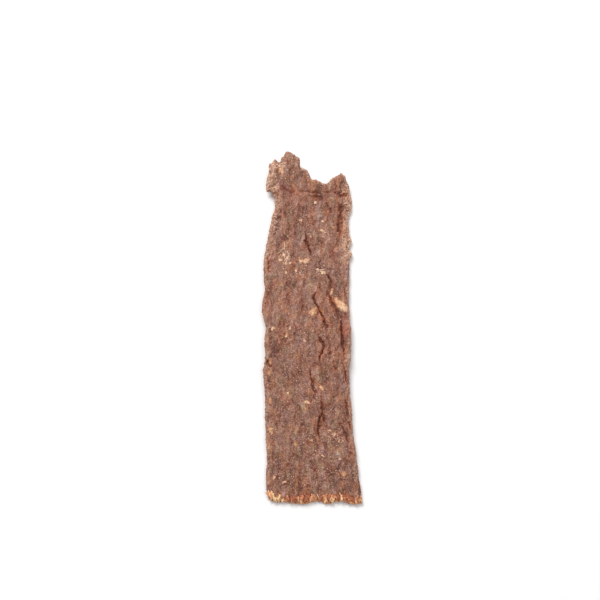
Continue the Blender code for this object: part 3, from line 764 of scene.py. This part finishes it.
def strand_kind(number):
    """A thin wavy strand one unit long with its middle at the origin, lying along Y."""
    bpy.ops.mesh.primitive_cylinder_add(
        vertices=5, radius=1.0, depth=1.0, location=ORIGIN, rotation=(math.radians(90), 0.0, 0.0)
    )
    strand = bpy.context.object
    bpy.ops.object.transform_apply(location=False, rotation=True, scale=False)
    for edge in strand.data.edges:
        start, end = (strand.data.vertices[i].co for i in edge.vertices)
        edge.select = abs(end.y - start.y) > 0.5
    to_mode("EDIT")
    bpy.ops.mesh.select_mode(type="EDGE")
    bpy.ops.mesh.subdivide(number_cuts=6)
    to_mode("OBJECT")
    for vertex in strand.data.vertices:
        x, y, z = vertex.co
        thick = 1.0 - 0.7 * abs(2.0 * y) ** 2.5
        sway = 2.6 * noise.noise(Vector((0.0, 2.2 * y, 3.7 * number + 0.5)))
        vertex.co = Vector((x * thick + sway, y, z * thick))
    return strand


def scatter(name, kinds, spots, material):
    """One piece of copies of the kinds. A spot is a kind's number, a matrix and a paleness."""
    copies = []
    for kind, matrix, paleness in spots:
        mesh = kinds[kind].data.copy()
        along = -read_vectors(mesh.vertices, "co")[:, 1]
        write_masks(mesh, {"pale": paleness + PALER_TIP * np.clip(along, 0.0, 1.0)})
        mesh.transform(matrix)
        copies.append(bpy.data.objects.new(name, mesh))
        bpy.context.scene.collection.objects.link(copies[-1])
    for kind in kinds:
        bpy.data.objects.remove(kind)
    bpy.ops.object.select_all(action="DESELECT")
    for copy in copies:
        copy.select_set(True)
    bpy.context.view_layer.objects.active = copies[0]
    bpy.ops.object.join()
    piece = bpy.context.object
    piece.name = piece.data.name = name
    piece.data.shade_smooth()
    piece.data.materials.append(material)
    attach(piece, "root")
    return piece


def laid_on(place, outward, turn, size, lift):
    """A matrix that lays a shape on the surface, its Z outward and its Y turned from the grain."""
    side = Vector((math.cos(turn), -math.sin(turn), 0.0))
    ahead = outward.cross(side).normalized()
    side = ahead.cross(outward)
    turned = Matrix((side, ahead, outward)).transposed().to_4x4()
    scaled = Matrix.Diagonal((size[0] * MM, size[1] * MM, size[2] * MM, 1.0))
    return Matrix.Translation(place + outward * (lift * MM)) @ turned @ scaled


def scatter_grains(find):
    """Small grains of fat in their clusters, each half sunk in the meat."""
    random.seed(11)
    places = []
    for cluster in CLUSTERS:
        for _ in range(cluster.count):
            x = random.gauss(cluster.x, 0.6 * cluster.across)
            y = random.gauss(cluster.y, 0.6 * cluster.along)
            radius = random.uniform(*CLUSTER_RADII) * random.choice((1.0, 1.0, 1.3))
            places.append((x, y, radius, random.gauss(cluster.pale - 0.1, 0.22)))
    for _ in range(LOOSE_GRAINS):
        x, y = random.uniform(-18.0, 18.0), random.uniform(-73.0, 68.0)
        places.append((x, y, random.uniform(*LOOSE_RADII), random.gauss(0.15, 0.2)))
    spots = []
    for x, y, radius, paleness in places:
        turn = random.gauss(0.0, 0.6)
        place, outward = find(x, y)
        if place is None or outward.z < 0.3:
            continue
        matrix = laid_on(place, outward, turn, (radius, radius, radius), 0.2 * radius)
        spots.append((random.randrange(3), matrix, min(1.0, max(0.0, paleness))))
    return scatter("fat_grains", [grain_kind(i) for i in range(3)], spots, fat_material())


def scatter_strands(find):
    """Strands of gristle on the face, thin and pale, each laid along the face where its middle lies."""
    random.seed(5)
    spots = []
    for x, y, turn, length in STRANDS:
        place, outward = find(x, y)
        matrix = laid_on(place, outward, turn, (0.17, 1.15 * length, 0.14), 0.05)
        spots.append((random.randrange(4), matrix, random.uniform(0.55, 1.0)))
    return scatter("gristle_strands", [strand_kind(i) for i in range(4)], spots, gristle_material())


def scatter_tufts():
    """Rows of tufts along the foot, where the strip was torn."""
    random.seed(3)
    spots = []
    for row, (count, inset, paleness) in enumerate(FOOT_ROWS):
        for i in range(count):
            x = FOOT_START + (FOOT_END - FOOT_START) * (i + random.random()) / count
            clump = noise.noise(Vector((x / CLUMP_WIDTH, 0.7 * row, 4.4)))
            if row > 0 and clump < BARE_BELOW:
                continue
            tear = float(between(FOOT_TEAR, x))
            y = tear + inset + random.uniform(-0.3, 0.5)
            length, width = random.uniform(*TUFT_LENGTHS), random.uniform(*TUFT_WIDTHS)
            edge = min(1.0, (y - tear + 0.3) / 2.0)
            z = 0.25 + 1.6 * edge ** 0.6 + random.uniform(-0.2, 0.2)
            lean = math.radians(random.uniform(-10.0, 16.0) + 12.0 * (1 - row))
            turn = random.gauss(0.0, 0.32)
            left = 1.0 - min(1.0, abs(x - LEFT_CORNER) / LEFT_CORNER_REACH)
            tone = paleness + LEFT_CORNER_PALER * left + CLUMP_PALER * clump + random.gauss(0.0, 0.08)
            matrix = Matrix.Translation(Vector((x, y, z)) * MM) @ Matrix.Rotation(turn, 4, "Z")
            roll = random.uniform(-0.6, 0.6)
            matrix = matrix @ Matrix.Rotation(lean, 4, "X") @ Matrix.Rotation(roll, 4, "Y")
            matrix = matrix @ Matrix.Diagonal((width * MM, length * MM, 0.4 * width * MM, 1.0))
            spots.append((random.randrange(4), matrix, min(1.0, max(-0.2, tone))))
    return scatter("foot_tufts", [tuft_kind(i) for i in range(4)], spots, tuft_material())


def outward_run(points, turn_sign):
    """Points at short steps on the line, each with the direction out of the strip there."""
    run = []
    for start, end in zip(points, points[1:]):
        start, end = Vector(start), Vector(end)
        length = (end - start).length
        along = (end - start) / length
        away = Vector((-along.y, along.x)) * turn_sign
        count = max(1, round(length / FLAKE_STEP))
        run += [(start.lerp(end, (i + 0.5) / count), away) for i in range(count)]
    return run


def scatter_flakes(find):
    """Flakes and crumbs along the torn top and the driest stretches of the two sides."""
    random.seed(8)
    left = [(across, along) for along, across in LEFT_SIDE if FLAKES_FROM < along]
    right = [(across, along) for along, across in RIGHT_SIDE if FLAKES_FROM < along < RIGHT_FLAKES_TO]
    runs = outward_run(left, 1.0) + outward_run(TOP_TEAR, 1.0) + outward_run(right, -1.0)
    spots = []
    for point, away in runs:
        if random.random() > FLAKE_SHARE:
            continue
        inset = random.uniform(0.2, 1.0)
        spot = point - away * inset
        place, outward = find(spot.x, spot.y)
        if place is None or outward.z < 0.2:
            continue
        turn = math.atan2(-away.x, -away.y) + random.gauss(0.0, 0.5)
        on_flake = point.x < -14.0 and point.y > 57.0
        size = random.uniform(0.4, 1.0 if on_flake else 0.85)
        paleness = random.gauss(0.8 if on_flake or point.x > 14.0 else 0.45, 0.2)
        matrix = laid_on(place, outward, turn, (0.55 * size, size, 0.3 * size), -0.02)
        spots.append((random.randrange(4), matrix, min(1.0, max(0.0, paleness))))
    return scatter("torn_flakes", [tuft_kind(i + 4) for i in range(4)], spots, flake_material())


def set_up_camera():
    aim = Vector(CAMERA_AIM)
    back = Vector((0.0, -math.cos(CAMERA_ELEVATION), math.sin(CAMERA_ELEVATION)))
    data = bpy.data.cameras.new("camera")
    data.lens = CAMERA_LENS
    data.sensor_width = 36.0
    data.clip_start = 0.01
    data.clip_end = 20.0
    camera = bpy.data.objects.new("camera", data)
    camera.location = (aim + back * CAMERA_DISTANCE) * MM
    camera.rotation_euler = (math.radians(90) - CAMERA_ELEVATION, 0.0, 0.0)
    bpy.context.scene.collection.objects.link(camera)
    bpy.context.scene.camera = camera


def area_light(name, place, size, power):
    """A soft round lamp that shines on the strip's middle."""
    data = bpy.data.lights.new(name, "AREA")
    data.shape = "DISK"
    data.size = size
    data.energy = power
    lamp = bpy.data.objects.new(name, data)
    lamp.location = place
    lamp.rotation_euler = (-Vector(place)).to_track_quat("-Z", "Y").to_euler()
    bpy.context.scene.collection.objects.link(lamp)


def set_up_studio():
    """A white floor in soft light, most of it from above and from the far left."""
    bpy.ops.mesh.primitive_plane_add(size=8.0, location=ORIGIN)
    floor = bpy.context.object
    floor.name = "floor"
    floor.data.materials.append(Nodes("floor_white").finished(FLOOR_WHITE, 0.9, 0.1))

    world = bpy.data.worlds.new("room")
    world.use_nodes = True
    background = world.node_tree.nodes["Background"]
    background.inputs["Color"].default_value = (1.0, 1.0, 1.0, 1.0)
    background.inputs["Strength"].default_value = 0.43
    bpy.context.scene.world = world
    area_light("key", (-0.28, 0.62, 0.80), 0.75, 10.6)
    area_light("fill", (0.5, -0.3, 0.9), 0.6, 2.3)
    bpy.context.scene.view_settings.view_transform = "Standard"


# Colours of the floor, of the meat from its darkest to its palest (the palest partly a painted sheen), its
# fat, torn ends, and the painted shade of its cracks and creases
FLOOR_WHITE = (0.885, 0.88, 0.88, 1.0)
DARK_MEAT = (0.100, 0.025, 0.010, 1.0)
DEEP_BROWN = (0.172, 0.0575, 0.0280, 1.0)
BROWN = (0.244, 0.0980, 0.0565, 1.0)
LIGHT_BROWN = (0.323, 0.151, 0.100, 1.0)
PINK_TAN = (0.412, 0.224, 0.168, 1.0)
# The palest, most neutral tone of the meat, partly a painted sheen
PALE_TAN_AND_SHEEN = (0.540, 0.353, 0.318, 1.0)
NO_TINT = (1.0, 1.0, 1.0, 1.0)
RUST_TINT = (1.13, 0.90, 0.64, 1.0)
MAUVE_TINT = (0.95, 1.01, 1.28, 1.0)
OLIVE_TINT = (0.90, 1.09, 0.93, 1.0)
# Reddens and darkens round the cracks: partly the meat's own red, partly painted shade
RED_AND_SHADE_HALO_TINT = (0.98, 0.60, 0.47, 1.0)
# Painted shade, reddish, for the fine creases
CREASE_SHADE_TINT = (0.62, 0.42, 0.36, 1.0)
# Painted shade in the cracks, over the dark red of their inside
CRACK_SHADE_RED = (0.125, 0.034, 0.017, 1.0)
# Pale flecks of fat, which also serve as painted glints of sheen
FLECK_AND_GLINT = (0.58, 0.375, 0.30, 1.0)
DRY_TAN = (0.54, 0.30, 0.21, 1.0)
DRY_CREAM = (0.74, 0.45, 0.31, 1.0)
FAT_ORANGE = (0.43, 0.185, 0.085, 1.0)
FAT_TAN = (0.60, 0.31, 0.150, 1.0)
FAT_CREAM = (0.80, 0.53, 0.335, 1.0)
GRAIN_CREAM = (0.76, 0.52, 0.385, 1.0)
FRAY_DARK = (0.22, 0.068, 0.038, 1.0)
FRAY_RED = (0.47, 0.140, 0.070, 1.0)
FRAY_ORANGE = (0.66, 0.250, 0.115, 1.0)
FRAY_TAN = (0.80, 0.39, 0.190, 1.0)
FRAY_CREAM = (0.95, 0.65, 0.36, 1.0)


class Nodes:
    """Short calls for building a material's node tree."""

    def __init__(self, name):
        self.material = bpy.data.materials.new(name)
        self.material.use_nodes = True
        self.tree = self.material.node_tree
        self.shader = self.tree.nodes["Principled BSDF"]

    def add(self, kind, inputs=None, **settings):
        node = self.tree.nodes.new(kind)
        for key, value in settings.items():
            setattr(node, key, value)
        for key, value in (inputs or {}).items():
            self.put(node.inputs[key], value)
        return node

    def put(self, socket, value):
        if hasattr(value, "is_linked"):
            self.tree.links.new(value, socket)
        else:
            socket.default_value = value

    def grain_place(self, across, along):
        """Object coordinates in which the grain's usual patch is one unit across and along."""
        place = self.add("ShaderNodeTexCoord").outputs["Object"]
        scale = (1.0 / (across * MM), 1.0 / (along * MM), 1.0 / (across * MM))
        return self.add("ShaderNodeMapping", {"Vector": place, "Scale": scale}).outputs["Vector"]

    def noise(self, across, along, detail=3.0, roughness=0.55, distortion=0.0):
        inputs = {
            "Vector": self.grain_place(across, along), "Scale": 1.0, "Detail": detail,
            "Roughness": roughness, "Distortion": distortion,
        }
        return self.add("ShaderNodeTexNoise", inputs).outputs["Fac"]

    def mask(self, name):
        return self.add("ShaderNodeAttribute", attribute_name=name).outputs["Fac"]

    def remap(self, value, low, high, to_low=0.0, to_high=1.0):
        inputs = {0: value, 1: low, 2: high, 3: to_low, 4: to_high}
        return self.add("ShaderNodeMapRange", inputs).outputs[0]

    def maths(self, operation, first, second=0.5):
        return self.add("ShaderNodeMath", {0: first, 1: second}, operation=operation).outputs[0]

    def mix(self, share, first, second, blend="MIX"):
        node = self.add("ShaderNodeMix", data_type="RGBA", blend_type=blend)
        self.put(node.inputs["Factor"], share)
        self.put(node.inputs["A"], first)
        self.put(node.inputs["B"], second)
        return node.outputs["Result"]

    def ramp(self, value, *stops):
        """A colour for each value, between stops that are a place from 0 to 1 and a colour."""
        node = self.add("ShaderNodeValToRGB", {"Fac": value})
        elements = node.color_ramp.elements
        for element in list(elements)[1:]:
            elements.remove(element)
        elements[0].position, elements[0].color = stops[0]
        for place, colour in stops[1:]:
            elements.new(place).color = colour
        return node.outputs["Color"]

    def total(self, start, *shares):
        """Start plus each value's departure from its middle, 0.5, times its weight."""
        for value, weight in shares:
            centred = self.maths("SUBTRACT", value)
            inputs = {0: centred, 1: weight, 2: start}
            start = self.add("ShaderNodeMath", inputs, operation="MULTIPLY_ADD").outputs[0]
        return start

    def bump(self, height, strength, distance):
        inputs = {"Height": height, "Strength": strength, "Distance": distance}
        return self.add("ShaderNodeBump", inputs).outputs["Normal"]

    def finished(self, colour, roughness, specular, normal=None):
        """The material with these values, each a number or colour or another node's output."""
        values = {"Base Color": colour, "Roughness": roughness, "Specular IOR Level": specular}
        if normal:
            values["Normal"] = normal
        for name, value in values.items():
            self.put(self.shader.inputs[name], value)
        return self.material


def meat_material():
    nodes = Nodes("dried_meat")
    fine = nodes.noise(0.42, 0.55, 2.0, 0.6)
    blotches = nodes.noise(1.1, 1.9, 2.0, 0.5, 0.4)
    streaks = nodes.noise(1.2, 4.8, 2.0, 0.5, 0.9)
    broad = nodes.noise(4.0, 9.0, 2.0, 0.5, 0.5)
    paler_top = nodes.remap(nodes.mask("top_end"), 0.0, 1.0, 0.44, 0.51)
    # The rise mask darkens the hollows and lightens the crests: painted shade and light
    tone = nodes.total(
        paler_top, (fine, 1.3), (blotches, 0.85), (streaks, 0.85), (broad, 0.7), (nodes.mask("rise"), 0.5)
    )
    # The pale end of this ramp is partly painted sheen on the meat
    colour = nodes.ramp(
        tone, (0.0, DARK_MEAT), (0.22, DEEP_BROWN), (0.48, BROWN), (0.7, LIGHT_BROWN), (0.88, PINK_TAN),
        (1.0, PALE_TAN_AND_SHEEN),
    )
    hue = nodes.noise(3.0, 6.0, 3.0, 0.5, 0.6)
    tint = nodes.ramp(hue, (0.34, RUST_TINT), (0.5, NO_TINT), (0.64, MAUVE_TINT))
    colour = nodes.mix(1.0, colour, tint, "MULTIPLY")
    olive = nodes.remap(nodes.noise(2.4, 4.5, 2.0, 0.5, 0.5), 0.5, 0.64, 0.0, 0.9)
    colour = nodes.mix(olive, colour, OLIVE_TINT, "MULTIPLY")

    # Pale fat flecks, partly painted glints of sheen
    flecks_and_glints = nodes.noise(0.30, 0.38, 1.0, 0.5)
    colour = nodes.mix(nodes.remap(flecks_and_glints, 0.59, 0.69, 0.0, 0.75), colour, FLECK_AND_GLINT)
    dry_crumbs = nodes.remap(nodes.noise(0.55, 0.7, 3.0, 0.6), 0.4, 0.58)
    dry_share = nodes.maths("MULTIPLY", nodes.mask("dry"), dry_crumbs)
    dry_colour = nodes.mix(nodes.mask("cream"), DRY_TAN, DRY_CREAM)
    dry_weight = nodes.remap(nodes.mask("cream"), 0.2, 1.0, 0.6, 0.9)
    colour = nodes.mix(nodes.maths("MULTIPLY", dry_share, dry_weight), colour, dry_colour)

    clumps = nodes.noise(1.0, 1.8, 3.0, 0.6)
    brightness = nodes.total(0.44, (clumps, 1.6), (nodes.mask("tip"), 0.4), (fine, 0.7))
    frayed_share = nodes.maths("MULTIPLY", nodes.mask("frayed"), 0.9)
    colour = nodes.mix(frayed_share, colour, fray_ramp(nodes, brightness))

    fat = nodes.mask("fat")
    paleness = nodes.total(nodes.mask("pale"), (fine, 1.5), (blotches, 1.5), (fat, 0.6))
    fat_share = nodes.total(fat, (fine, 1.7), (blotches, 0.9))
    fat_share = nodes.remap(fat_share, 0.22, 0.95, 0.0, 0.95)
    colour = nodes.mix(fat_share, colour, fat_ramp(nodes, paleness))
    red_patches = nodes.remap(nodes.noise(0.8, 1.6), 0.35, 0.65, 0.3, 1.0)
    # The red halo round the cracks, partly painted shade in their valleys, reddens and darkens the colour
    red_and_shade_share = nodes.maths("MULTIPLY", nodes.mask("red_and_shade_halo"), red_patches)
    colour = nodes.mix(red_and_shade_share, colour, RED_AND_SHADE_HALO_TINT, "MULTIPLY")
    # Painted shade, reddish, in the fine creases
    crease_shade = nodes.remap(nodes.mask("crease"), 0.2, 1.0, 0.0, 0.65)
    colour = nodes.mix(crease_shade, colour, CREASE_SHADE_TINT, "MULTIPLY")
    # Painted shade: the cracks darkened to a deep red
    colour = nodes.mix(nodes.remap(nodes.mask("crack"), 0.15, 0.9, 0.0, 0.95), colour, CRACK_SHADE_RED)

    roughness = nodes.remap(fine, 0.3, 0.7, 0.68, 0.46)
    grit = nodes.bump(nodes.noise(0.3, 0.4, 3.0, 0.6), 0.9, 0.14 * MM)
    return nodes.finished(colour, roughness, 0.38, grit)


def fat_ramp(nodes, paleness):
    return nodes.ramp(paleness, (0.0, FAT_ORANGE), (0.5, FAT_TAN), (1.0, FAT_CREAM))


def fray_ramp(nodes, brightness):
    return nodes.ramp(
        brightness, (0.08, FRAY_DARK), (0.32, FRAY_RED), (0.52, FRAY_ORANGE), (0.74, FRAY_TAN),
        (0.95, FRAY_CREAM),
    )


def grained(nodes, colour, across, along, roughness):
    """Finishes a material with this colour, mottled and roughened at this scale."""
    mottle = nodes.noise(across, along, 3.0, 0.6)
    shaded = nodes.mix(1.0, colour, nodes.remap(mottle, 0.3, 0.7, 0.72, 1.18), "MULTIPLY")
    roughness = nodes.remap(mottle, 0.3, 0.7, roughness + 0.1, roughness - 0.1)
    grit = nodes.bump(nodes.noise(0.5 * across, 0.5 * along), 0.5, 0.06 * MM)
    return nodes.finished(shaded, roughness, 0.35, grit)


def fat_material():
    nodes = Nodes("fat")
    paleness = nodes.total(nodes.mask("pale"), (nodes.noise(0.3, 0.4), 0.8))
    colour = nodes.ramp(paleness, (0.0, PINK_TAN), (0.5, FLECK_AND_GLINT), (1.0, GRAIN_CREAM))
    return grained(nodes, colour, 0.22, 0.28, 0.5)


def gristle_material():
    nodes = Nodes("gristle")
    paleness = nodes.total(nodes.mask("pale"), (nodes.noise(0.4, 0.8), 0.9))
    return grained(nodes, nodes.mix(paleness, DRY_TAN, FAT_CREAM), 0.15, 0.5, 0.55)


def tuft_material():
    nodes = Nodes("torn_tufts")
    brightness = nodes.total(nodes.mask("pale"), (nodes.noise(0.32, 1.4), 1.3))
    return grained(nodes, fray_ramp(nodes, brightness), 0.2, 0.5, 0.6)


def flake_material():
    nodes = Nodes("dry_flakes")
    paleness = nodes.total(nodes.mask("pale"), (nodes.noise(0.5, 0.7), 1.0))
    colour = nodes.ramp(paleness, (0.1, LIGHT_BROWN), (0.5, DRY_TAN), (0.9, DRY_CREAM))
    return grained(nodes, colour, 0.25, 0.3, 0.65)


set_up_camera()
set_up_studio()

strip = make_strip()
strip.data.materials.append(meat_material())
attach(strip, "root")
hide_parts("jerky_strip")

find_surface = surface_of(strip)
scatter_grains(find_surface)
scatter_strands(find_surface)
scatter_tufts()
scatter_flakes(find_surface)
